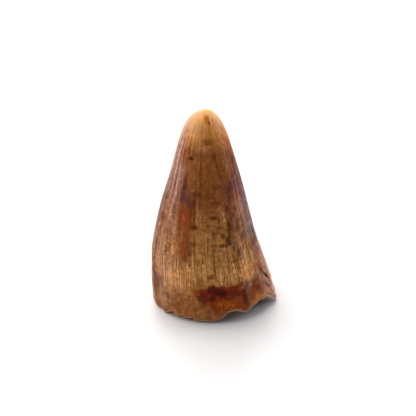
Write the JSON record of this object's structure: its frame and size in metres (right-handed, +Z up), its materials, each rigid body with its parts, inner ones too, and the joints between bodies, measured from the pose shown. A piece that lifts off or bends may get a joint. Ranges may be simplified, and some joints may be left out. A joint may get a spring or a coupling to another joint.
{
  "type": "fossil bear canine tooth crown",
  "caption": "Blunt conical canine crown, hollow inside, standing on its ragged broken rim, with brown mottled enamel and a pale tip.",
  "frame": {"origin": "middle of the broken base's outline, on the plane the tooth stands on", "axes": "+Z up to the tip; -Y is the flatter front face; +X is the side with the thin hanging flake"},
  "size_m": [0.0238, 0.0208, 0.0378],
  "materials": {
    "fossil_enamel": "semi-gloss fossil enamel, brown with darker stains, a pale tip and fine lengthwise cracks"
  },
  "bodies": {
    "root": {"tooth": "fossil_enamel"}
  },
  "joints": []
}
